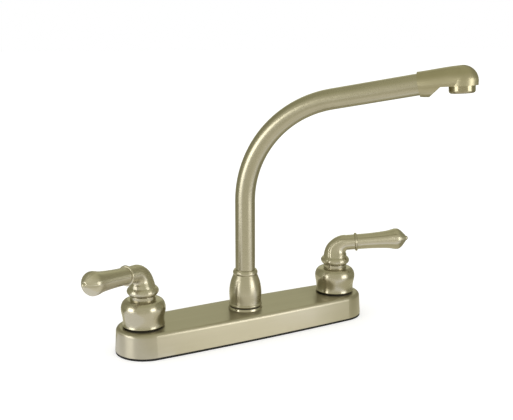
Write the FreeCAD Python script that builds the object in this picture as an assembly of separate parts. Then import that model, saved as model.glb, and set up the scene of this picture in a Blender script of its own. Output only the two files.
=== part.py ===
import FreeCAD, Part
import math
import os

# Two-handle kitchen tap on an 8 inch deck plate: a tall swivelling spout between two lever handles.
# Millimetres. Origin on the deck under the spout, +X to the cold handle, +Y away from the user, +Z up.

V = FreeCAD.Vector
X_AXIS = V(1, 0, 0)
Y_AXIS = V(0, 1, 0)
Z_AXIS = V(0, 0, 1)

# Layout
handle_centres = 203.2      # standard spacing of the two tap holes, 8 inches
hot_lever_azimuth = 206.9   # levers as the closed tap holds them, 30 degrees forward of sideways
cold_lever_azimuth = -30.7
spout_azimuth = -46.6       # spout swung to the right of straight forward
running_clearance = 0.06    # radial play of a turned part in its bore
face_clearance = 0.1        # axial play between faces that turn on each other
fixing_clearance = 0.3      # play of a fixed part in a cast hole
bite = 0.5                  # how far a cast rib or ring runs into the wall that carries it

# Gasket and deck plate
gasket_thickness = 2.0
gasket_inset = 0.2          # set back from the plate's foot
plate_length = 254.0        # 10 inches
plate_height = 20.9
plate_end_radius = 27.7
plate_bow = 1.9             # how far the long sides bulge at the middle
plate_wall = 2.2
plate_roof = 2.6
plate_draft = 4.0           # degrees, side walls lean in
plate_edge_radius = 3.4
plate_boss_width = 3.0      # rings cast under the roof round the handle holes
plate_boss_depth = 1.0
rib_thickness = 1.8
rib_depth = 7.0

# Waterway inside the plate
cross_height = 9.0          # centre of the cross tubes above the gasket
cross_tube_radius = 5.6
cross_tube_wall = 1.1
cross_socket_radius = 7.4
cross_socket_depth = 6.0
window_height = 0.4         # sill of the body's window above the chamber floor
block_radius = 13.5
block_headroom = 0.4        # play under the plate's roof
post_tail_radius = 8.0
post_tail_length = 8.0

# Valve body with its threaded shank, one under each handle
shank_radius = 10.45        # 1/2 inch straight pipe thread, outside
shank_length = 46.0         # below the deck
shank_relief_radius = 9.6   # thread relief under the flange
shank_relief_length = 2.0   # of it below the deck
inlet_radius = 6.5
inlet_depth = 42.0
inlet_port_radius = 5.0
body_flange_radius = 16.0
body_flange_thickness = 2.6
body_radius = 12.6
body_rise = 13.1            # top of the body above the plate
chamber_radius = 9.4
chamber_floor = 7.0         # above the gasket
body_window_radius = 4.2

# Cartridge
seal_height = 2.4
seal_radius = 8.2
disc_thickness = 2.5
disc_radius = 7.9
port_inner_radius = 2.0
port_outer_radius = 5.7
port_angle = 70.0           # degrees of each of a disc's two fan-shaped ports
driver_height = 4.0
driver_width = 7.1          # across its two flats
stem_radius = 4.5
stem_end_radius = 4.0       # corner radius of the twelve-sided drive end
stem_shoulder = 0.6         # the round journal ends this far above the cartridge
cartridge_flange_radius = 12.2
cartridge_flange_thickness = 1.6
cartridge_neck_radius = 7.0
cartridge_neck_height = 4.6
cartridge_window_width = 7.0
cartridge_window_height = 4.4
cartridge_ring_place = 4.0  # O-ring above the driver
stem_ring_place = 3.0       # O-ring below the top of the body
ring_section = 0.62         # section radius of the small O-rings
ring_room = 0.3             # play of an O-ring along its groove
bonnet_across_flats = 27.0
bonnet_skirt = 7.0          # threaded length down the body
bonnet_web = 2.4
plate_nut_radius = 15.6
plate_nut_height = 2.8

# Handle bell
bell_gap = 1.3              # above the plate
bell_height = 23.3
bell_belly_radius = 19.5
bell_foot_radius = 18.1
bell_neck_radius = 11.2
bell_neck_height = 3.5
bell_neck_round = 0.5
bell_wall = 1.5
bell_outline = [            # radius, height above the foot: flared rim, waist, belly and shoulder
    (18.5, 1.1),
    (18.2, 2.5),
    (18.1, 5.4),
    (18.7, 9.6),
    (bell_belly_radius, 15.4),
    (18.65, 19.3),
    (16.7, 22.0),
    (14.1, 23.1),
    (bell_neck_radius, bell_height)]

# Lever
boss_radius = 7.6           # spigot of the lever inside the bell's neck
boss_length = 8.0
groove_radius = 10.5
groove_height = 0.5
collar_radius = 13.9
collar_height = 7.0
collar_top_radius = 11.3
collar_outline = [          # radius, height above the groove
    (11.7, 0.0),
    (13.1, 1.2),
    (collar_radius, 3.6),
    (13.4, 5.1),
    (collar_top_radius, collar_height)]
elbow_rise = 10.0           # pivot of the elbow above the groove
elbow_pivot = 11.6          # distance of the elbow's inner corner from the handle axis
elbow_sections = [          # share of the turn, gap to the pivot, half depth, half width
    (0.0, 0.65, 10.95, 9.7),
    (0.15, 0.9, 10.45, 8.5),
    (0.3, 1.2, 9.95, 7.7),
    (0.5, 1.7, 9.15, 7.3),
    (0.75, 2.4, 8.35, 7.35),
    (1.0, 3.2, 7.55, 7.5)]
grip_rise = 4.8             # degrees
grip_radius = 7.45
grip_length = 60.6          # elbow to tip
bead_radius = 9.0
bead_width = 2.4
bead_place = 9.4            # from the end of the elbow
tip_radius = 2.3
grip_outline = [            # radius, distance from the elbow: slow flare, knob and rounded cone
    (7.55, 21.1),
    (8.2, 34.8),
    (9.35, 43.9),
    (10.2, 48.4),
    (10.05, 50.3),
    (9.2, 52.3),
    (7.65, 54.2),
    (5.4, 56.2),
    (3.1, 58.2)]
socket_depth = 15.0
set_screw_radius = 2.0
set_screw_level = 3.6       # above the groove
set_screw_sink = 1.4        # below the collar's surface
set_screw_key_radius = 1.2
set_screw_key_depth = 2.5

# Spout foot
post_radius = 10.0
post_bore = 5.5
post_rise = 23.1            # above the plate
spout_ring_section = 0.85
spout_ring_low = 15.0       # O-ring heights above the plate
spout_ring_high = 20.0
base_ring_radius = 15.8
base_ring_height = 1.9
base_ring_lean = 0.45       # the ring's side leans in by this
base_ring_edge = 0.5
glide_height = 0.8
glide_radius = 14.4
clip_height = 1.3
clip_radius = 10.9
clip_depth = 0.9            # how far the clip sits in the post
clip_place = 4.2            # above the plate
clip_gap = 60.0             # degrees left open
hub_height = 33.9
hub_lip_radius = 15.7
hub_lip_height = 2.6
hub_lip_roll = 0.8
hub_belly_radius = 15.05
hub_belly_height = 11.0
hub_waist_radius = 10.95
hub_waist_height = 29.5
hub_outline = [             # radius, height above the foot: from lip to waist
    (14.8, 6.4),
    (hub_belly_radius, hub_belly_height),
    (14.5, 18.1),
    (13.25, 23.5),
    (12.15, 26.6),
    (hub_waist_radius, hub_waist_height)]
hub_collar_radius = 11.4
hub_collar_swell = 2.3      # from the waist up to the collar's widest place
hub_collar_shoulder = 10.75
hub_collar_round = 0.8
hub_web = 1.4
hub_sleeve = 1.0            # depth of the tube's seat below its foot

# Spout tube
tube_radius = 9.1
tube_wall = 1.0
riser_top = 101.1           # straight riser above the plate
bend_radius = 95.4          # centre line
arm_rise = 10.5             # degrees above level
arm_length = 74.85

# Spout head, measured from the centre of the socket's rim
socket_radius = 10.5
tube_insertion = 8.0
neck_reach = 7.5
neck_lift = 0.6
neck_radius = 11.1
middle_reach = 21.25
middle_lift = 2.55
middle_radius = 11.7
middle_rise = 7.35          # degrees
nose_reach = 35.0
nose_lift = 3.3
nose_radius = 13.0
chamfer_start = 9.4         # the relief under the neck runs up at 45 degrees from here
chamfer_drop = 9.95
flat_start = 17.9
flat_drop = 1.45
outlet_lean = 3.5           # degrees, the stream points slightly outwards
passage_radius = 4.8
passage_lift = 5.3

# Aerator
aerator_radius = 10.8
aerator_drop = 6.2
aerator_edge = 2.2
aerator_thread_radius = 9.5
aerator_thread_height = 5.6
aerator_bore = 8.3
aerator_mouth = 7.2
washer_height = 1.2
mixer_height = 3.0
mixer_hole_radius = 0.9
mixer_hole_pitch = 5.1      # radius of its ring of holes
screen_height = 1.2
screen_recess = 0.8
screen_hole_pitches = (3.0, 5.6)

# Levels that follow from the sizes above
gasket_top = gasket_thickness
plate_top = gasket_top + plate_height
cross_level = gasket_top + cross_height
floor_level = gasket_top + chamber_floor
body_top = plate_top + body_rise
bell_foot = plate_top + bell_gap
bell_top = bell_foot + bell_height
neck_top = bell_top + bell_neck_height
collar_foot = neck_top + groove_height
collar_top = collar_foot + collar_height
disc_foot = floor_level + seal_height
mover_foot = disc_foot + disc_thickness + face_clearance
driver_foot = mover_foot + disc_thickness
driver_top = driver_foot + driver_height
cartridge_radius = chamber_radius - running_clearance
flange_top = body_top + cartridge_flange_thickness
cartridge_top = flange_top + cartridge_neck_height
stem_top = collar_foot - groove_height + socket_depth - boss_length
ring_seat = ring_section * 2 - 0.1
base_ring_top = plate_top + base_ring_height
glide_top = base_ring_top + glide_height
hub_foot = glide_top + face_clearance
hub_top = hub_foot + hub_height
post_top = plate_top + post_rise
tube_foot = post_top + hub_web + hub_sleeve
bend_start = plate_top + riser_top
bend_angle = 90.0 - arm_rise
half_centres = handle_centres / 2
elbow_turn = 90.0 - grip_rise


def line(p, q):
    """Straight edge between two (radius, height) points."""
    return Part.LineSegment(V(p[0], 0, p[1]), V(q[0], 0, q[1])).toShape()


def arc(p, through, q):
    """Round edge through three (radius, height) points."""
    return Part.Arc(V(p[0], 0, p[1]), V(through[0], 0, through[1]), V(q[0], 0, q[1])).toShape()


def curve(*points):
    """Smooth edge through (radius, height) points."""
    spline = Part.BSplineCurve()
    spline.interpolate([V(r, 0, z) for r, z in points])
    return spline.toShape()


def spun(*edges):
    """Closed outline turned about the Z axis."""
    return Part.Face(Part.Wire(list(edges))).revolve(V(0, 0, 0), Z_AXIS, 360)


def turned(*corners):
    """Turned part from the (radius, height) corners of its half section."""
    edges = [line(a, b) for a, b in zip(corners, corners[1:] + corners[:1])]
    return spun(*edges)


def rod(radius, foot, top):
    return Part.makeCylinder(radius, top - foot, V(0, 0, foot))


def cross_rod(radius, start, end, level):
    """Rod along X."""
    return Part.makeCylinder(radius, end - start, V(start, 0, level), X_AXIS)


def o_ring(ring_radius, section, level):
    return Part.makeTorus(ring_radius, section, V(0, 0, level))


def prism(sides, corner_radius, foot, top):
    """Upright prism with one flat facing +X."""
    points = []
    for i in range(sides + 1):
        a = 2 * math.pi * (i + 0.5) / sides
        points.append(V(corner_radius * math.cos(a), corner_radius * math.sin(a), foot))
    return Part.Face(Part.makePolygon(points)).extrude(V(0, 0, top - foot))


def moved(shape, turn, shift):
    """Turn about Z by degrees, then shift."""
    out = shape.copy()
    out.rotate(V(0, 0, 0), Z_AXIS, turn)
    out.translate(shift)
    return out


def plate_wire(inset, level):
    """Plan outline of the deck plate: two round ends joined by two long bowed sides, all tangent."""
    end = plate_end_radius
    centre = plate_length / 2 - end
    half_width = end + plate_bow
    side = (centre ** 2 + half_width ** 2 - end ** 2) / (2 * plate_bow)
    r = end - inset
    tx = centre + r * centre / (side - end)
    ty = r * (side - half_width) / (side - end)
    tip = centre + r
    mid = half_width - inset
    right = Part.Arc(V(tx, -ty, level), V(tip, 0, level), V(tx, ty, level))
    back = Part.Arc(V(tx, ty, level), V(0, mid, level), V(-tx, ty, level))
    left = Part.Arc(V(-tx, ty, level), V(-tip, 0, level), V(-tx, -ty, level))
    front = Part.Arc(V(-tx, -ty, level), V(0, -mid, level), V(tx, -ty, level))
    return Part.Wire([e.toShape() for e in (right, back, left, front)])


def plate_mass(inset, foot, top):
    """Solid between two levels with the plate's outline and draft, inset all round."""
    lean = math.tan(math.radians(plate_draft))
    wires = [plate_wire(inset + (level - gasket_top) * lean, level) for level in (foot, top)]
    return Part.makeLoft(wires, True, True)


def handle_places():
    return [V(-half_centres, 0, 0), V(half_centres, 0, 0)]


def plate_rib(x):
    """Cross rib under the roof, notched for the cross tube."""
    ceiling = plate_top - plate_roof
    width = plate_length
    room = cross_socket_radius + fixing_clearance
    corner = V(x - rib_thickness / 2, -width / 2, ceiling - rib_depth)
    rib = Part.makeBox(rib_thickness, width, rib_depth + bite, corner)
    notch = cross_rod(room, x - rib_thickness, x + rib_thickness, cross_level)
    return rib.common(plate_mass(plate_wall - bite, gasket_top, ceiling + bite)).cut(notch)


def deck_plate():
    """Cast cover: drafted shell, rounded top edge, rings and ribs under the roof, three holes."""
    shell = plate_mass(0, gasket_top, plate_top)
    top_edges = [e for e in shell.Edges if all(abs(v.Z - plate_top) < 0.001 for v in e.Vertexes)]
    shell = shell.makeFillet(plate_edge_radius, top_edges)
    ceiling = plate_top - plate_roof
    shell = shell.cut(plate_mass(plate_wall, gasket_top - bite, ceiling))
    hole = body_radius + fixing_clearance
    for place in handle_places():
        ring = rod(hole + plate_boss_width, ceiling - plate_boss_depth, ceiling + bite)
        shell = shell.fuse(moved(ring, 0, place))
    for x in (-half_centres / 2, half_centres / 2):
        shell = shell.fuse(plate_rib(x))
    for place in handle_places():
        shell = shell.cut(moved(rod(hole, gasket_top, plate_top + 1), 0, place))
    shell = shell.cut(rod(post_radius + fixing_clearance, gasket_top, plate_top + 1))
    return shell.removeSplitter()


def base_gasket():
    """Black rubber sheet under the plate, with a hole for each shank."""
    sheet = Part.Face(plate_wire(gasket_inset, 0)).extrude(V(0, 0, gasket_thickness))
    for place in handle_places():
        sheet = sheet.cut(moved(rod(shank_radius + fixing_clearance, -1, gasket_thickness + 1), 0, place))
    return sheet


def valve_body():
    """Turned brass body: shank, flange on the gasket, chamber, and a socket for the cross tube."""
    flange_top_level = gasket_top + body_flange_thickness
    body = rod(shank_radius, -shank_length, -shank_relief_length)
    body = body.fuse(rod(shank_relief_radius, -shank_relief_length, gasket_top))
    body = body.fuse(rod(body_flange_radius, gasket_top, flange_top_level))
    body = body.fuse(rod(body_radius, flange_top_level, body_top))
    reach = body_radius + cross_socket_depth
    body = body.fuse(cross_rod(cross_socket_radius, 0, reach, cross_level))
    body = body.cut(rod(inlet_radius, -shank_length - 1, -shank_length + inlet_depth))
    body = body.cut(rod(inlet_port_radius, -shank_length + inlet_depth - 1, floor_level + 1))
    body = body.cut(rod(chamber_radius, floor_level, body_top + 1))
    body = body.cut(cross_rod(cross_tube_radius, body_radius, reach + 1, cross_level))
    sill = floor_level + window_height
    window = cross_rod(body_window_radius, chamber_radius - 1, body_radius + 1, sill + body_window_radius)
    return body.cut(window).removeSplitter()


def cross_tube():
    """Thin tube from a valve body to the centre block."""
    start = body_radius
    end = half_centres - block_radius
    tube = cross_rod(cross_tube_radius, start, end, cross_level)
    return tube.cut(cross_rod(cross_tube_radius - cross_tube_wall, start - 1, end + 1, cross_level))


def spout_block():
    """Centre block: takes both cross tubes and the spout post."""
    top = plate_top - plate_roof - block_headroom
    block = rod(block_radius, gasket_top, top)
    reach = block_radius + cross_socket_depth
    block = block.fuse(cross_rod(cross_socket_radius, -reach, reach, cross_level))
    block = block.cut(cross_rod(cross_tube_radius - cross_tube_wall, -reach, reach, cross_level))
    for side in (-1, 1):
        seat = cross_rod(cross_tube_radius, block_radius, reach + 1, cross_level)
        seat.rotate(V(0, 0, 0), Z_AXIS, 90 - 90 * side)
        block = block.cut(seat)
    block = block.cut(rod(post_tail_radius, top - post_tail_length, top + 1))
    block = block.cut(rod(post_bore, cross_level, top))
    return block.removeSplitter()


def groove(outer, depth, width, level):
    """Ring-shaped cutter for a groove centred on a level."""
    ring = rod(outer + 1, level - width / 2, level + width / 2)
    return ring.cut(rod(outer - depth, level - width / 2 - 1, level + width / 2 + 1))


def spout_post():
    """Turned post the spout swivels on: threaded tail, clip groove and two O-ring grooves."""
    shoulder = plate_top - plate_roof - block_headroom
    post = rod(post_radius, shoulder, post_top)
    post = post.fuse(rod(post_tail_radius, shoulder - post_tail_length, shoulder))
    post = post.cut(rod(post_bore, shoulder - post_tail_length - 1, post_top + 1))
    ring_depth = 2 * spout_ring_section
    for level in (spout_ring_low, spout_ring_high):
        post = post.cut(groove(post_radius, ring_depth, ring_depth + 2 * ring_room, plate_top + level))
    post = post.cut(groove(post_radius, clip_depth, clip_height + face_clearance, plate_top + clip_place))
    return post.removeSplitter()


def spout_seals():
    """Two O-rings in the post's grooves."""
    r = post_radius - spout_ring_section
    low = o_ring(r, spout_ring_section, plate_top + spout_ring_low)
    high = o_ring(r, spout_ring_section, plate_top + spout_ring_high)
    return Part.makeCompound([low, high])


def retaining_clip():
    """Open spring ring that keeps the spout on its post."""
    level = plate_top + clip_place
    ring = rod(clip_radius, level - clip_height / 2, level + clip_height / 2)
    ring = ring.cut(rod(post_radius - clip_depth, level - clip_height, level + clip_height))
    foot = V(0, 0, level - clip_height)
    return ring.cut(Part.makeCylinder(clip_radius + 1, clip_height * 2, foot, Z_AXIS, clip_gap))


def base_ring():
    """Fixed escutcheon ring under the spout, with a leaning side and a rounded edge."""
    inner = post_radius + fixing_clearance
    edge = base_ring_edge
    top = base_ring_top
    r = base_ring_radius - base_ring_lean
    k = edge * (1 - math.sqrt(0.5))
    return spun(line((inner, plate_top), (base_ring_radius, plate_top)),
                line((base_ring_radius, plate_top), (r, top - edge)),
                arc((r, top - edge), (r - k, top - k), (r - edge, top)),
                line((r - edge, top), (inner, top)),
                line((inner, top), (inner, plate_top)))


def glide_washer():
    """Nylon washer in the dark joint between the base ring and the hub."""
    inner = post_radius + fixing_clearance
    return rod(glide_radius, base_ring_top, glide_top).cut(rod(inner, base_ring_top - 1, glide_top + 1))


def spout_hub():
    """Barrel-shaped hub: rounded lip, belly, waist and beaded collar, bored for the post and the tube."""
    foot = hub_foot
    lip = hub_lip_radius
    roll = hub_lip_roll
    inner = post_radius + running_clearance
    seat = tube_radius - tube_wall
    ceiling = tube_foot - hub_web
    shoulder = hub_collar_shoulder
    edge = hub_collar_round
    k = edge * (1 - math.sqrt(0.5))
    sides = [(lip - roll, foot + hub_lip_height)] + [(r, foot + z) for r, z in hub_outline]
    waist = sides[-1]
    hub = spun(line((inner, foot), (lip - roll, foot)),
               arc((lip - roll, foot), (lip, foot + hub_lip_height / 2), sides[0]),
               curve(*sides),
               arc(waist, (hub_collar_radius, waist[1] + hub_collar_swell), (shoulder, hub_top - edge)),
               arc((shoulder, hub_top - edge), (shoulder - k, hub_top - k), (shoulder - edge, hub_top)),
               line((shoulder - edge, hub_top), (tube_radius, hub_top)),
               line((tube_radius, hub_top), (tube_radius, tube_foot)),
               line((tube_radius, tube_foot), (seat, tube_foot)),
               line((seat, tube_foot), (seat, ceiling)),
               line((seat, ceiling), (inner, ceiling)),
               line((inner, ceiling), (inner, foot)))
    level = plate_top + clip_place
    reach = clip_height / 2 + fixing_clearance
    return hub.cut(rod(clip_radius + fixing_clearance, level - reach, level + reach))


def spout_path(start, extra):
    """Centre line: riser, bend and rising arm, in the XZ plane."""
    a = math.radians(bend_angle)
    rise = math.radians(arm_rise)
    p0 = V(0, 0, start)
    p1 = V(0, 0, bend_start)
    mid = V(bend_radius * (1 - math.cos(a / 2)), 0, bend_start + bend_radius * math.sin(a / 2))
    p2 = V(bend_radius * (1 - math.cos(a)), 0, bend_start + bend_radius * math.sin(a))
    reach = arm_length + extra
    p3 = p2 + V(reach * math.cos(rise), 0, reach * math.sin(rise))
    riser = Part.LineSegment(p0, p1).toShape()
    bend = Part.Arc(p1, mid, p2).toShape()
    arm = Part.LineSegment(p2, p3).toShape()
    return Part.Wire([riser, bend, arm]), p3


def bent_rod(radius, start, extra):
    path, end = spout_path(start, extra)
    disc = Part.Face(Part.Wire(Part.makeCircle(radius, V(0, 0, start), Z_AXIS)))
    return path.makePipe(disc)


def spout_tube():
    """Bent brass tube, hollow from end to end."""
    outer = bent_rod(tube_radius, tube_foot, tube_insertion)
    inner = bent_rod(tube_radius - tube_wall, tube_foot, tube_insertion)
    return outer.cut(inner)


def head_origin():
    """Centre of the head's socket rim."""
    path, end = spout_path(tube_foot, 0)
    return end


def head_section(reach, lift, radius, tilt):
    """Round section square to the head's run."""
    direction = V(math.cos(math.radians(tilt)), 0, math.sin(math.radians(tilt)))
    return Part.Wire(Part.makeCircle(radius, V(reach, 0, lift), direction))


def outlet_level():
    """Height of the outlet face on the nose axis, from the socket rim's centre."""
    return -flat_drop + (nose_reach - flat_start) * math.tan(math.radians(outlet_lean))


def on_outlet(shape):
    """Carry a part built about Z, outlet face at zero, to the leaning outlet of the head."""
    out = shape.copy()
    out.rotate(V(0, 0, 0), Y_AXIS, -outlet_lean)
    out.translate(V(nose_reach, 0, outlet_level()))
    out.translate(head_origin())
    return out


def spout_head():
    """Head: socket lobe on the tube, neck relieved underneath, round nose over the aerator."""
    sections = [head_section(0, 0, socket_radius, arm_rise),
                head_section(neck_reach, neck_lift, neck_radius, arm_rise),
                head_section(middle_reach, middle_lift, middle_radius, middle_rise),
                head_section(nose_reach, nose_lift, nose_radius, 0)]
    head = Part.makeLoft(sections, True, False)
    face = outlet_level()
    head = head.fuse(Part.makeSphere(nose_radius, V(nose_reach, 0, nose_lift)))
    head = head.fuse(Part.makeCylinder(nose_radius, nose_lift - face + 3, V(nose_reach, 0, face - 3)))
    deep = 2 * nose_radius
    far = nose_reach + 2 * nose_radius
    slope = math.tan(math.radians(outlet_lean))
    corners = [V(chamfer_start - deep, 0, -chamfer_drop - deep), V(flat_start, 0, -flat_drop),
               V(far, 0, -flat_drop + (far - flat_start) * slope), V(far, 0, -chamfer_drop - deep)]
    below = Part.Face(Part.makePolygon(corners + corners[:1]))
    below.translate(V(0, -2 * nose_radius, 0))
    head = head.cut(below.extrude(V(0, 4 * nose_radius, 0)))
    rise = V(math.cos(math.radians(arm_rise)), 0, math.sin(math.radians(arm_rise)))
    head = head.cut(Part.makeCylinder(tube_radius, tube_insertion + 1, rise * -1, rise))
    passage = Part.makeCylinder(passage_radius, nose_reach, V(tube_insertion - 1, 0, passage_lift), X_AXIS)
    head = head.cut(passage)
    head.translate(head_origin())
    bore = rod(aerator_thread_radius, -2, aerator_thread_height + washer_height)
    return head.cut(on_outlet(bore)).removeSplitter()


def aerator_housing():
    """Threaded aerator shell: neck in the head, visible band with a rounded lower edge."""
    foot = -aerator_drop
    r = aerator_radius
    k = aerator_edge * (1 - math.sqrt(0.5))
    lower = foot + screen_recess + screen_height
    return spun(line((aerator_thread_radius, aerator_thread_height), (aerator_thread_radius, 0)),
                line((aerator_thread_radius, 0), (r, 0)),
                line((r, 0), (r, foot + aerator_edge)),
                arc((r, foot + aerator_edge), (r - k, foot + k), (r - aerator_edge, foot)),
                line((r - aerator_edge, foot), (aerator_mouth, foot)),
                line((aerator_mouth, foot), (aerator_mouth, foot + screen_recess)),
                line((aerator_mouth, foot + screen_recess), (aerator_bore, foot + screen_recess)),
                line((aerator_bore, foot + screen_recess), (aerator_bore, aerator_thread_height)),
                line((aerator_bore, aerator_thread_height), (aerator_thread_radius, aerator_thread_height)))


def aerator_washer():
    """Rubber washer above the aerator."""
    foot = aerator_thread_height
    top = foot + washer_height
    return rod(aerator_thread_radius, foot, top).cut(rod(aerator_mouth, foot - 1, top + 1))


def holed_disc(radius, foot, height, rings, hole):
    """Round plate with rings of holes: each ring is (count, pitch radius)."""
    disc = rod(radius, foot, foot + height)
    for count, pitch in rings:
        for i in range(count):
            a = 2 * math.pi * i / count
            place = V(pitch * math.cos(a), pitch * math.sin(a), foot - 1)
            disc = disc.cut(Part.makeCylinder(hole, height + 2, place))
    return disc


def aerator_mixer():
    """Plastic jet plate inside the aerator."""
    foot = aerator_thread_height - mixer_height
    return holed_disc(aerator_bore, foot, mixer_height, [(6, mixer_hole_pitch)], mixer_hole_radius)


def aerator_screen():
    """Outlet grid of the aerator."""
    foot = -aerator_drop + screen_recess
    inner_pitch, outer_pitch = screen_hole_pitches
    rings = [(1, 0), (6, inner_pitch), (12, outer_pitch)]
    return holed_disc(aerator_bore, foot, screen_height, rings, mixer_hole_radius)


def seat_seal():
    """Rubber seal between the chamber floor and the ceramic discs."""
    seal = rod(seal_radius, floor_level, disc_foot)
    return seal.cut(rod(inlet_port_radius, floor_level - 1, disc_foot + 1))


def ceramic_disc(foot):
    """Ceramic disc with two opposite fan-shaped ports."""
    disc = rod(disc_radius, foot, foot + disc_thickness)
    low = V(0, 0, foot - 1)
    for middle in (0, 180):
        fan = Part.makeCylinder(port_outer_radius, disc_thickness + 2, low, Z_AXIS, port_angle)
        fan.rotate(V(0, 0, 0), Z_AXIS, middle - port_angle / 2)
        fan = fan.cut(rod(port_inner_radius, foot - 2, foot + disc_thickness + 2))
        disc = disc.cut(fan)
    return disc


def fixed_disc():
    return ceramic_disc(disc_foot)


def moving_disc():
    """Upper disc, turned a quarter from the lower one while the tap is closed."""
    return moved(ceramic_disc(mover_foot), 90, V(0, 0, 0))


def cartridge_housing():
    """Plastic sleeve over the discs: side windows, seal groove, flange and neck round the stem."""
    r = cartridge_radius
    disc_bore = seal_radius
    stem_bore = stem_radius + running_clearance
    sleeve = turned((disc_bore, disc_foot), (r, disc_foot), (r, body_top),
                    (cartridge_flange_radius, body_top),
                    (cartridge_flange_radius, flange_top), (cartridge_neck_radius, flange_top),
                    (cartridge_neck_radius, cartridge_top), (stem_bore, cartridge_top),
                    (stem_bore, driver_top + face_clearance), (disc_bore, driver_top + face_clearance))
    for turn in (0, 90):
        slot = Part.makeBox(4 * r, cartridge_window_width, cartridge_window_height,
                            V(-2 * r, -cartridge_window_width / 2, driver_foot))
        slot.rotate(V(0, 0, 0), Z_AXIS, turn)
        slot = slot.cut(rod(disc_bore - bite, driver_foot - 1, driver_top + 1))
        sleeve = sleeve.cut(slot)
    return sleeve.cut(groove(r, ring_seat, ring_section * 2 + ring_room, seal_ring_level()))


def seal_ring_level():
    """Height of the O-ring round the cartridge, above its windows."""
    return driver_top + cartridge_ring_place


def cartridge_seal():
    """O-ring between the cartridge and the chamber wall."""
    inner = cartridge_radius - ring_seat
    return o_ring((inner + chamber_radius) / 2, (chamber_radius - inner) / 2 - 0.02, seal_ring_level())


def bonnet_nut():
    """Hexagon nut that holds the cartridge down."""
    corner = bonnet_across_flats / math.sqrt(3)
    foot = body_top - bonnet_skirt
    nut = prism(6, corner, foot, flange_top + bonnet_web)
    nut = nut.cut(rod(body_radius, foot - 1, flange_top))
    hole = rod(cartridge_neck_radius + fixing_clearance, flange_top - 1, flange_top + bonnet_web + 1)
    return nut.cut(hole)


def plate_nut():
    """Thin round nut of black nylon that holds the deck plate down, in the shadow under the bell."""
    nut = rod(plate_nut_radius, plate_top, plate_top + plate_nut_height)
    return nut.cut(rod(body_radius, plate_top - 1, plate_top + plate_nut_height + 1))


def stem():
    """Brass stem: disc driver, journal with an O-ring groove and a twelve-sided drive end."""
    body = rod(disc_radius, driver_foot, driver_top)
    corner = V(-disc_radius, -driver_width / 2, driver_foot)
    body = body.common(Part.makeBox(2 * disc_radius, driver_width, driver_height, corner))
    shoulder = cartridge_top + stem_shoulder
    body = body.fuse(rod(stem_radius, driver_top, shoulder))
    body = body.fuse(prism(12, stem_end_radius, shoulder, stem_top))
    body = body.cut(groove(stem_radius, ring_seat, ring_section * 2 + ring_room, stem_ring_level()))
    return body.removeSplitter()


def stem_ring_level():
    return body_top - stem_ring_place


def stem_seal():
    """O-ring in the stem's groove."""
    inner = stem_radius - ring_seat
    outer = stem_radius + running_clearance
    return o_ring((inner + outer) / 2, (outer - inner) / 2 - 0.02, stem_ring_level())


def inset(points, wall):
    """Points of an outline, given from its foot up, moved inwards by the wall and square to it."""
    inner = []
    for i, (r, z) in enumerate(points):
        r0, z0 = points[max(i - 1, 0)]
        r1, z1 = points[min(i + 1, len(points) - 1)]
        length = math.hypot(r1 - r0, z1 - z0)
        inner.append((r - wall * (z1 - z0) / length, z + wall * (r1 - r0) / length))
    return inner


def bell():
    """Turned bell: flared rim, slight waist, full belly, shoulder and a straight neck."""
    foot = bell_foot
    neck = bell_neck_radius
    rounding = bell_neck_round
    k = rounding * (1 - math.sqrt(0.5))
    outside = [(r, foot + z) for r, z in bell_outline]
    inside = inset(outside, bell_wall)
    rim = outside[0]
    ceiling = inside[-1]
    return spun(arc((bell_foot_radius, foot), (rim[0] - k, foot + k), rim),
                curve(*outside),
                line(outside[-1], (neck, neck_top - rounding)),
                arc((neck, neck_top - rounding), (neck - k, neck_top - k), (neck - rounding, neck_top)),
                line((neck - rounding, neck_top), (boss_radius, neck_top)),
                line((boss_radius, neck_top), (boss_radius, ceiling[1])),
                line((boss_radius, ceiling[1]), ceiling),
                curve(*inside[::-1]),
                line(inside[0], (inside[0][0], foot)),
                line((inside[0][0], foot), (bell_foot_radius, foot)))


def elbow_ring(share, gap, depth, width):
    """Oval section of the elbow; all its sections fan out from the inner corner."""
    level = collar_foot + elbow_rise
    centre = elbow_pivot - gap - depth
    oval = Part.Ellipse(V(centre - depth, 0, level), V(centre, width, level), V(centre, 0, level)).toShape()
    oval.rotate(V(elbow_pivot, 0, level), Y_AXIS, share * elbow_turn)
    return Part.Wire(oval)


def elbow():
    """Elbow lofted from the top of the collar to the grip."""
    collar_ring = Part.makeCircle(collar_top_radius, V(0, 0, collar_top), Z_AXIS, 180, 540)
    rings = [Part.Wire(collar_ring)] + [elbow_ring(*section) for section in elbow_sections]
    return Part.makeLoft(rings, True, False)


def grip_start():
    """Centre of the elbow's last section, where the grip begins."""
    share, gap, depth, width = elbow_sections[-1]
    out = gap + depth
    a = math.radians(grip_rise)
    return V(elbow_pivot - out * math.sin(a), 0, collar_foot + elbow_rise + out * math.cos(a))


def grip():
    """Turned grip along Z from the elbow: ring bead, slow flare, knob, rounded cone and button tip."""
    g = grip_radius
    low = bead_place - bead_width / 2
    high = bead_place + bead_width / 2
    cone = grip_outline[-1]
    neck = grip_length - tip_radius
    k = tip_radius * math.sqrt(0.5)
    return spun(line((0, 0), (g, 0)),
                line((g, 0), (g, low)),
                arc((g, low), (bead_radius, bead_place), (g, high)),
                curve((g, high), *grip_outline),
                line(cone, (tip_radius, neck)),
                arc((tip_radius, neck), (k, neck + k), (0, grip_length)),
                line((0, grip_length), (0, 0)))


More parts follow.
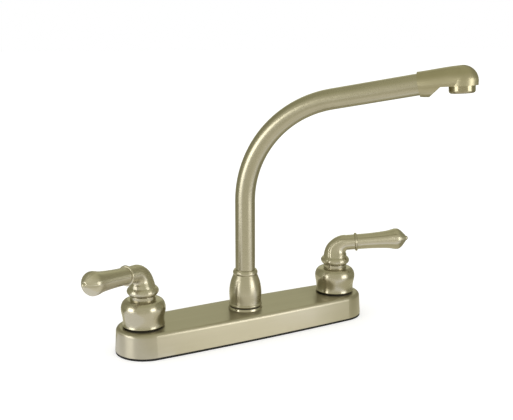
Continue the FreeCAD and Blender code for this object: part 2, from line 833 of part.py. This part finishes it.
def lever():
    """Cast lever: spigot in the bell, groove, beaded collar, elbow and turned grip in one piece."""
    foot = neck_top - boss_length
    collar = [(r, collar_foot + z) for r, z in collar_outline]
    core = spun(line((0, foot), (boss_radius, foot)),
                line((boss_radius, foot), (boss_radius, neck_top)),
                line((boss_radius, neck_top), (groove_radius, neck_top)),
                line((groove_radius, neck_top), (groove_radius, collar_foot)),
                line((groove_radius, collar_foot), collar[0]),
                curve(*collar),
                line(collar[-1], (0, collar_top)),
                line((0, collar_top), (0, foot)))
    handle = grip()
    handle.rotate(V(0, 0, 0), Y_AXIS, elbow_turn)
    handle.translate(grip_start())
    whole = core.fuse(elbow()).fuse(handle)
    whole = whole.cut(prism(12, stem_end_radius, foot - 1, stem_top))
    hole = Part.makeCylinder(set_screw_radius, 2 * collar_radius, V(0, 0, screw_level()), X_AXIS * -1)
    return whole.cut(hole).removeSplitter()


def screw_level():
    return collar_foot + set_screw_level


def set_screw():
    """Grub screw through the back of the collar on to the stem, with a hexagon socket."""
    start = stem_end_radius * math.cos(math.pi / 12)
    end = collar_radius - set_screw_sink
    level = screw_level()
    screw = Part.makeCylinder(set_screw_radius, end - start, V(-start, 0, level), X_AXIS * -1)
    key = prism(6, set_screw_key_radius, 0, set_screw_key_depth + 1)
    key.rotate(V(0, 0, 0), Y_AXIS, -90)
    key.translate(V(-end + set_screw_key_depth, 0, level))
    return screw.cut(key)


def build():
    nodes = {"deck_plate": deck_plate(), "base_gasket": base_gasket(), "spout_block": spout_block(),
             "spout_post": spout_post(), "spout_seals": spout_seals(), "retaining_clip": retaining_clip(),
             "base_ring": base_ring(), "glide_washer": glide_washer()}
    spout = {"spout_hub": spout_hub(), "spout_tube": spout_tube(), "spout_head": spout_head(),
             "aerator_housing": on_outlet(aerator_housing()), "aerator_washer": on_outlet(aerator_washer()),
             "aerator_mixer": on_outlet(aerator_mixer()), "aerator_screen": on_outlet(aerator_screen())}
    for name, shape in spout.items():
        nodes[name] = moved(shape, spout_azimuth, V(0, 0, 0))
    fixed = {"valve_body": valve_body(), "cross_tube": cross_tube(), "seat_seal": seat_seal(),
             "fixed_disc": fixed_disc(), "cartridge": cartridge_housing(),
             "cartridge_seal": cartridge_seal(), "bonnet_nut": bonnet_nut(), "plate_nut": plate_nut()}
    turning = {"moving_disc": moving_disc(), "stem": stem(), "stem_seal": stem_seal(), "bell": bell(),
               "lever": lever(), "set_screw": set_screw()}
    sides = (("hot", V(-half_centres, 0, 0), 0, hot_lever_azimuth),
             ("cold", V(half_centres, 0, 0), 180, cold_lever_azimuth))
    for side, place, inward, azimuth in sides:
        for name, shape in fixed.items():
            nodes[side + "_" + name] = moved(shape, inward, place)
        for name, shape in turning.items():
            nodes[side + "_" + name] = moved(shape, azimuth, place)
    return nodes


os.makedirs("parts", exist_ok=True)
for node, shape in build().items():
    shape.exportStep("parts/" + node + ".step")
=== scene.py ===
import math

import bpy
import numpy as np
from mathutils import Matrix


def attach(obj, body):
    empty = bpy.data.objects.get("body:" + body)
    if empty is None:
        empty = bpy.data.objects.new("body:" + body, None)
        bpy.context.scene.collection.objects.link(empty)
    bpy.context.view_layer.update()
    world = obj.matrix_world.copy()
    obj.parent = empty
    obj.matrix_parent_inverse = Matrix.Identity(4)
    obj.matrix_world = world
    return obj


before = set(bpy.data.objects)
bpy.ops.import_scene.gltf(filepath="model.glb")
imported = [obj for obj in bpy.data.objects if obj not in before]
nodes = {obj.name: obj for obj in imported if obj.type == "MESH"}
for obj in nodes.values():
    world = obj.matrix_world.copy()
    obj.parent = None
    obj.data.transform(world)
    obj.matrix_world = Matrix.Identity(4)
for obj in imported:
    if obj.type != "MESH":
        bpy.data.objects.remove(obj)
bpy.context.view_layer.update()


# Deck plate. A die-cast zinc cover, ground along its length and then plated in satin nickel with a
# warm, champagne tint. It lies on its gasket, held down by the plate nuts on the valve bodies.

def linear(code):
    """Linear colour of an sRGB hex value."""
    parts = [int(code[i:i + 2], 16) / 255 for i in (1, 3, 5)]
    parts = [p / 12.92 if p <= 0.04045 else ((p + 0.055) / 1.055) ** 2.4 for p in parts]
    return tuple(parts) + (1.0,)


def add(tree, kind, inputs, **settings):
    """Add a node: settings are its own options, inputs are values or (node, output) links."""
    node = tree.nodes.new(kind)
    for name, value in settings.items():
        setattr(node, name, value)
    for key, value in inputs.items():
        if isinstance(value, tuple) and isinstance(value[0], bpy.types.Node):
            tree.links.new(value[0].outputs[value[1]], node.inputs[key])
        else:
            node.inputs[key].default_value = value
    return node


def shader(name):
    """Empty node material, its tree and its output."""
    material = bpy.data.materials.new(name)
    material.use_nodes = True
    tree = material.node_tree
    tree.nodes.clear()
    return material, tree, tree.nodes.new("ShaderNodeOutputMaterial")


def satin_nickel(name, grain, across, spread, roughness, tint=("#AFA993", "#BAB4A0")):
    """Brushed nickel plating: grain is how many brush marks to the metre along X, Y and Z.

    across gives the direction square to the marks, in which they stretch a highlight, and spread
    says how far. The marks of a 320-grit belt are about 0.05 mm apart, too fine to show, so they
    are drawn about 1 mm apart, and their depth stays at a few hundredths of a millimetre. The
    tone drifts between the two tints, over some 15 mm across the marks and more along them.
    """
    material, tree, output = shader(name)
    place = add(tree, "ShaderNodeTexCoord", {})
    mapping = add(tree, "ShaderNodeMapping", {"Vector": (place, "Object"), "Scale": grain})
    marks = add(tree, "ShaderNodeTexNoise",
                {"Vector": (mapping, 0), "Scale": 1.0, "Detail": 3.0, "Roughness": 0.6})
    tone = add(tree, "ShaderNodeTexNoise",
               {"Vector": (mapping, 0), "Scale": 0.06, "Detail": 5.0, "Roughness": 0.7})
    colour = add(tree, "ShaderNodeMix",
                 {0: (tone, 0), 6: linear(tint[0]), 7: linear(tint[1])}, data_type="RGBA")
    gloss = add(tree, "ShaderNodeMapRange",
                {0: (marks, 0), 1: 0.3, 2: 0.7, 3: roughness[0], 4: roughness[1]})
    bump = add(tree, "ShaderNodeBump",
               {"Height": (marks, 0), "Strength": 0.05, "Distance": 0.00003})
    stretch = add(tree, "ShaderNodeVectorTransform", {0: across(tree, place)},
                  vector_type="VECTOR", convert_from="OBJECT", convert_to="WORLD")
    metal = add(tree, "ShaderNodeBsdfPrincipled",
                {"Base Color": (colour, 2), "Metallic": 1.0, "Roughness": (gloss, 0),
                 "Normal": (bump, 0), "Anisotropic": spread, "Tangent": (stretch, 0)})
    tree.links.new(metal.outputs[0], output.inputs[0])
    return material


def dress(material, *names):
    """Give the carried-over solids their finish."""
    for name in names:
        mesh = nodes[name].data
        mesh.materials.clear()
        mesh.materials.append(material)


def across_plate(tree, place):
    """Square to the plate's length, along its surface: the cross product of normal and length."""
    normal = add(tree, "ShaderNodeNewGeometry", {})
    return add(tree, "ShaderNodeVectorMath", {0: (normal, "Normal"), 1: (1, 0, 0)},
               operation="CROSS_PRODUCT"), 0


# To the eye the ground plate has faint streaks from end to end, and soft highlights drawn out
# across them, over the rounded edge.
dress(satin_nickel("satin_nickel_ground_lengthwise", (30, 900, 900), across_plate, 0.8,
                   (0.28, 0.36), ("#ACA692", "#BFB9A7")), "deck_plate")


# Bells, hub and base ring. Turned brass, polished on the lathe with a fine belt before the same
# nickel plating. Each bell fits round its lever's spigot and turns with it, the hub carries the
# spout and turns with it, and the ring stays on the plate under the hub.

def upright(tree, place):
    """Along the axis of the turned pieces."""
    return add(tree, "ShaderNodeCombineXYZ", {2: 1.0}), 0


# The marks run round the axis: the eye sees a smooth skin with a short bright band at each side, a
# little longer than it is wide. The hub is a shade duller than the bells, and its paler tint is
# painted light that brightens it.
dress(satin_nickel("satin_nickel_bells", (60, 60, 1200), upright, 0.5, (0.2, 0.28),
                   ("#B2AC97", "#BDB7A4")), "hot_bell", "cold_bell", "base_ring")
dress(satin_nickel("satin_nickel_hub_painted_light", (60, 60, 1200), upright, 0.5, (0.26, 0.34),
                   ("#B5AF9A", "#C0BAA7")), "spout_hub")


# Levers. Cast brass, belt-polished round the grip and the elbow and nickel plated. Each sits on its
# stem's twelve-sided end, where a grub screw holds it. The marks ring the axis, which is upright at
# the collar and turns in the elbow to the grip's own direction.

# Measures of the solids, in metres.
half_centres = 0.1016
elbow_level, elbow_corner, grip_rise = 0.0615, 0.0116, 0.0006


def along_bend(foot, turn, level, corner, rise):
    """Direction of a bent piece's axis: upright up to the bend, then square to its radius.

    foot is the place of the upright part in X, and turn the direction of the arm seen from above.
    level and corner are the height of the bend's centre and its distance from the foot. Over the
    centre the direction is the height above it, outward, plus the distance in front of it,
    upward, and never less than rise, so that the arm beyond the bend keeps climbing a little.
    """
    turn = math.radians(turn)
    outward = (math.cos(turn), math.sin(turn))

    def across(tree, place):
        point = add(tree, "ShaderNodeVectorMath", {0: (place, "Object"), 1: (foot, 0, level)},
                    operation="SUBTRACT")
        reach = add(tree, "ShaderNodeVectorMath", {0: (point, 0), 1: (*outward, 0)},
                    operation="DOT_PRODUCT")
        height = add(tree, "ShaderNodeSeparateXYZ", {0: (point, 0)})
        over = add(tree, "ShaderNodeMath", {0: (height, 2), 1: 0.0}, operation="MAXIMUM")
        short = add(tree, "ShaderNodeMath", {0: corner, 1: (reach, "Value")}, operation="SUBTRACT")
        short = add(tree, "ShaderNodeMath", {0: (short, 0), 1: rise}, operation="MAXIMUM")
        axis = add(tree, "ShaderNodeCombineXYZ", {0: (over, 0), 1: (over, 0), 2: (short, 0)})
        return add(tree, "ShaderNodeVectorMath", {0: (axis, 0), 1: (*outward, 1)},
                   operation="MULTIPLY"), 0
    return across


# The polished casting shows soft streaks along grip and elbow, which end in small highlights on
# knob and beads. Its tint, the palest of the tap, is painted light that brightens the levers.
for name, foot, turn in (("hot_lever", -half_centres, 206.9), ("cold_lever", half_centres, -30.7)):
    dress(satin_nickel("satin_nickel_" + name, (900, 900, 900),
                       along_bend(foot, turn, elbow_level, elbow_corner, grip_rise),
                       1.0, (0.24, 0.27), ("#BCB6A1", "#C7C1AE")), name)


# Spout tube and head. A drawn and bent brass tube, soldered into the hub, and a cast head pushed on
# and soldered to its end; both are polished round the tube before the plating.

# Measures of the solids, in metres and degrees.
spout_turn = -46.6
bend_level, bend_radius, arm_rise = 0.124, 0.0954, 10.5
along_spout = along_bend(0, spout_turn, bend_level, bend_radius,
                         bend_radius * math.sin(math.radians(arm_rise)))

# The tube shows one soft streak along its length, and the duller head hardly any. The head's
# darker tint is painted shade.
dress(satin_nickel("satin_nickel_tube", (900, 900, 900), along_spout, 0.5, (0.26, 0.33)),
      "spout_tube")
dress(satin_nickel("satin_nickel_head_painted_shade", (900, 900, 900), along_spout, 0.5, (0.31, 0.38),
                   ("#AAA387", "#B5AE93")), "spout_head")


# Aerator shell. A turned brass ring with polished nickel plating, without the satin marks, screwed
# up into the head: small and hard highlights on a darker ring.

def plain(name, colour, roughness, metallic=0.0, ior=None, wear=60.0):
    """Plain material with faint clouds in its gloss, wear of them to the metre."""
    material, tree, output = shader(name)
    place = add(tree, "ShaderNodeTexCoord", {})
    cloud = add(tree, "ShaderNodeTexNoise",
                {"Vector": (place, "Object"), "Scale": wear, "Detail": 3.0})
    gloss = add(tree, "ShaderNodeMapRange",
                {0: (cloud, 0), 1: 0.3, 2: 0.7, 3: roughness * 0.85, 4: roughness * 1.15})
    body = add(tree, "ShaderNodeBsdfPrincipled",
               {"Base Color": linear(colour), "Metallic": metallic, "Roughness": (gloss, 0)})
    if ior:
        body.inputs["IOR"].default_value = ior
    tree.links.new(body.outputs[0], output.inputs[0])
    return material


polished = plain("polished_nickel_plating", "#A69E84", 0.2, 1.0)
dress(polished, "aerator_housing")


# Hidden metal. Valve bodies, bonnet nuts, block, post, cross tubes and stems are plain turned
# brass, yellow and clean as machined, and the clip and the grub screws are grey stainless steel.

def pair(*parts):
    """Names of the same pieces in the hot and the cold valve."""
    return [side + "_" + part for side in ("hot", "cold") for part in parts]


brass = plain("turned_brass", "#C0A062", 0.3, 1.0)
dress(brass, "spout_block", "spout_post", *pair("valve_body", "cross_tube", "bonnet_nut", "stem"))
steel = plain("stainless_steel", "#B0B0AD", 0.25, 1.0)
dress(steel, "retaining_clip", *pair("set_screw"))


# Shank threads. Half-inch parallel pipe thread, 14 turns to the inch, cut on the brass shanks; the
# solid shank is as thick as the thread's crest, so that the ridge stands only 0.2 mm proud of it.

shank_radius = 0.01045
thread_top, thread_length = -0.0036, 0.0412
thread_pitch, thread_crest, thread_sink = 0.001814, 0.0002, 0.00005


def grid_mesh(name, x, y, z, closed=(False, False), capped=False):
    """Mesh of quads from three arrays of one shape, joined end to end where closed or capped."""
    rows, columns = x.shape
    points = np.stack([x, y, z], -1).reshape(-1, 3)
    index = np.arange(rows * columns).reshape(rows, columns)
    if closed[0]:
        index = np.vstack([index, index[:1]])
    if closed[1]:
        index = np.hstack([index, index[:, :1]])
    quads = np.stack([index[:-1, :-1], index[:-1, 1:], index[1:, 1:], index[1:, :-1]], -1)
    quads = quads.reshape(-1, 4)
    ends = [index[0, :columns][::-1].tolist(), index[-1, :columns].tolist()] if capped else []
    mesh = bpy.data.meshes.new(name)
    mesh.from_pydata(points.tolist(), [], quads.tolist() + ends)
    mesh.update()
    thing = bpy.data.objects.new(name, mesh)
    bpy.context.scene.collection.objects.link(thing)
    return thing


def thread(name, centre):
    """Ridge wound down round the shank at centre: it falls by one pitch in every turn of angle a.

    The section has four points, two sunk into the shank and two on the crest, at 0.35 and 0.08
    of a pitch from its middle. Its height and width shrink to a tenth over the last half turn
    at both ends, as a die leaves them.
    """
    turns = thread_length / thread_pitch
    a = np.linspace(0, turns, int(turns * 60))[:, None] * 2 * math.pi
    fade = np.clip(np.minimum(a, a[-1] - a) / math.pi, 0.1, 1)
    rise = np.array([[-thread_sink, thread_crest, thread_crest, -thread_sink]]) * fade
    drop = np.array([[0.35, 0.08, -0.08, -0.35]]) * thread_pitch * fade
    reach = shank_radius + rise
    return grid_mesh(name, centre + reach * np.cos(a), reach * np.sin(a),
                     thread_top - a / (2 * math.pi) * thread_pitch + drop,
                     closed=(False, True), capped=True)


for name, centre in (("hot_thread", -half_centres), ("cold_thread", half_centres)):
    ridge = thread(name, centre)
    ridge.data.materials.append(brass)
    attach(ridge, "base")


# Rubber. The base gasket, O-rings, seat seals and the aerator washer are moulded black nitrile
# rubber: matt, and a deeper black than plain rubber, painted shade for the contact shadow, so that
# the gasket reads as a thin dark line under the plate.

rubber = plain("black_rubber", "#12110F", 0.85, ior=1.52, wear=300.0)
dress(rubber, "base_gasket", "spout_seals", "aerator_washer",
      *pair("seat_seal", "cartridge_seal", "stem_seal"))


# Plastic and ceramic. Cartridges and aerator plates are moulded nylon, off-white and half matt,
# glide washer and plate nuts are black nylon, whose near-black colour is also painted shade for the
# shadowed gap under the bells, and the valve discs are lapped white alumina with a smooth, glossy
# face.

nylon = plain("moulded_nylon", "#DAD8CC", 0.45, ior=1.53)
dress(nylon, "aerator_mixer", "aerator_screen", *pair("cartridge"))
dark = plain("black_nylon", "#221F1A", 0.5, ior=1.53)
dress(dark, "glide_washer", *pair("plate_nut"))
ceramic = plain("lapped_alumina", "#EFEDE6", 0.3, ior=1.76)
dress(ceramic, *pair("fixed_disc", "moving_disc"))


# Studio. A white floor and background, a soft box at each side of the camera, and grey-olive cards
# round the tap, out of the picture, that give the satin metal its darker top and edges.

floor_level, floor_reach = -0.0002, 20.0


def seen_rays(tree):
    """1 for the rays that show a background: to the camera, or by reflection or through glass."""
    path = add(tree, "ShaderNodeLightPath", {})
    seen = add(tree, "ShaderNodeMath", {0: (path, "Is Camera Ray"), 1: (path, "Is Glossy Ray")},
               operation="ADD")
    return add(tree, "ShaderNodeMath", {0: (seen, 0), 1: (path, "Is Transmission Ray")},
               operation="ADD", use_clamp=True)


# The floor's own glow, which only seen rays show, lifts its lit white to plain white and leaves the
# tap's shadow. It is stronger far from the tap, where the lamps give the floor less light.
floor_x, floor_y = np.meshgrid([-floor_reach, floor_reach], [-floor_reach, floor_reach])
floor = grid_mesh("floor", floor_x, floor_y, np.full((2, 2), floor_level))
material, tree, output = shader("white_floor")
place = add(tree, "ShaderNodeTexCoord", {})
away = add(tree, "ShaderNodeVectorMath", {0: (place, "Object")}, operation="LENGTH")
glow = add(tree, "ShaderNodeMapRange", {0: (away, "Value"), 1: 0.25, 2: 1.0, 3: 0.46, 4: 0.56})
lift = add(tree, "ShaderNodeMath", {0: (seen_rays(tree), 0), 1: (glow, 0)}, operation="MULTIPLY")
white = add(tree, "ShaderNodeEmission", {"Color": linear("#FFFFFF"), "Strength": (lift, 0)})
matt = add(tree, "ShaderNodeBsdfDiffuse", {"Color": linear("#E8E8E6")})
both = add(tree, "ShaderNodeAddShader", {0: (white, 0), 1: (matt, 0)})
tree.links.new(both.outputs[0], output.inputs[0])
floor.data.materials.append(material)

camera_turn = -29.6844
camera_drop = 11.9437


def around(turn, rise):
    """Unit vector at an angle round the tap from the camera's side, and one above the floor."""
    a, e = np.radians(camera_turn - 90 + turn), np.radians(rise)
    return np.stack([np.cos(a) * np.cos(e), np.sin(a) * np.cos(e), np.sin(e)])


def soft_box(name, turn, rise, distance, width, height, strength, target):
    """Oblong lamp at an angle round the tap, facing it; strength is its brightness, 1 is white."""
    lamp = bpy.data.lights.new(name, "AREA")
    lamp.shape = "RECTANGLE"
    lamp.size, lamp.size_y = width, height
    lamp.energy = strength * math.pi * width * height
    thing = bpy.data.objects.new(name, lamp)
    thing.location = np.array([0, 0, target]) + around(turn, rise) * distance
    thing.rotation_euler = (math.radians(90 - rise), 0, math.radians(camera_turn + turn))
    bpy.context.scene.collection.objects.link(thing)


soft_box("left_soft_box", -59, 0, 1.30, 0.70, 0.58, 3.0, 0.30)
soft_box("right_soft_box", 56, 0, 1.30, 0.64, 0.58, 2.7, 0.30)


def card(name, points, colour):
    """Card that only reflections show, from a grid of points."""
    thing = grid_mesh(name, *points)
    material, tree, output = shader(name + "_paper")
    paper = add(tree, "ShaderNodeEmission", {"Color": linear(colour)})
    tree.links.new(paper.outputs[0], output.inputs[0])
    thing.data.materials.append(material)
    thing.visible_camera = False
    thing.visible_diffuse = False
    thing.visible_shadow = False


card_distance, card_lift = 1.7, 0.0004


def dome(turns, rises):
    """Patch of a sphere round the tap, between two angles round it and two above the floor."""
    return around(*np.meshgrid(np.linspace(*turns, 25), np.linspace(*rises, 13))) * card_distance


def on_floor(turns, reach):
    """Patch of the floor between two angles round the tap and two distances from it."""
    turn, far = np.meshgrid(np.linspace(*turns, 25), np.linspace(*reach, 13))
    x, y, z = around(turn, np.zeros_like(turn)) * far
    return x, y, z + card_lift


card("camera_side_card", dome((-85, 80), (-1, 48)), "#DDDBC6")
card("left_card", dome((-112, -85), (-1, 48)), "#B3B399")
card("right_card", dome((80, 112), (-1, 48)), "#B0B098")
card("left_rear_flag", dome((-160, -112), (-1, 48)), "#A5A389")
card("right_rear_flag", dome((112, 160), (-1, 48)), "#A5A389")
card("low_rear_flag", dome((160, 200), (-1, 8)), "#A5A389")
card("rear_card", dome((160, 200), (8, 48)), "#D6D6B8")
card("overhead_card", dome((-60, 180), (48, 75)), "#D0CFB3")
card("left_overhead_card", dome((-180, -60), (48, 75)), "#B8B79B")
card("top_card", dome((-180, 180), (75, 90)), "#D0CFB3")
# The near floor card is a shade greyer than the open floor: painted shadow round the tap, which
# only reflections show.
card("near_floor_card", on_floor((-180, 180), (0, 0.09)), "#EAE6D2")
card("camera_side_floor_card", on_floor((-36, 36), (0.09, 0.26)), "#F6F3E6")
card("left_floor_card", on_floor((-80, -36), (0.09, 0.9)), "#FFFFFF")
card("right_front_floor_card", on_floor((36, 58), (0.09, 0.9)), "#F0EDE0")
card("right_floor_card", on_floor((58, 84), (0.09, 0.9)), "#FFFFFF")
card("rear_near_floor_card", on_floor((84, 280), (0.09, 0.20)), "#D8D5BC")
card("front_floor_card", on_floor((-36, 36), (0.26, 1.2)), "#DDDAC6")
card("rear_floor_card", on_floor((80, 280), (0.2, 1.7)), "#A5A389")

# The world is plain white to seen rays and a soft fill to the rest.
world = bpy.data.worlds.new("studio")
bpy.context.scene.world = world
world.use_nodes = True
tree = world.node_tree
tree.nodes.clear()
level = add(tree, "ShaderNodeMapRange", {0: (seen_rays(tree), 0), 3: 0.75, 4: 1.0})
sky = add(tree, "ShaderNodeBackground", {"Color": linear("#FFFFFF"), "Strength": (level, 0)})
tree.links.new(sky.outputs[0], add(tree, "ShaderNodeOutputWorld", {}).inputs[0])

# The camera that was fitted to the photograph.
lens = bpy.data.cameras.new("camera")
lens.lens = 55.843
lens.sensor_width = 36.0
lens.sensor_fit = "HORIZONTAL"
lens.clip_start = 0.01
camera = bpy.data.objects.new("camera", lens)
camera.location = (-0.34341, -0.623524, 0.266118)
camera.rotation_euler = (math.radians(90 - camera_drop), 0, math.radians(camera_turn))
bpy.context.scene.collection.objects.link(camera)
bpy.context.scene.camera = camera
bpy.context.scene.view_settings.view_transform = "Standard"
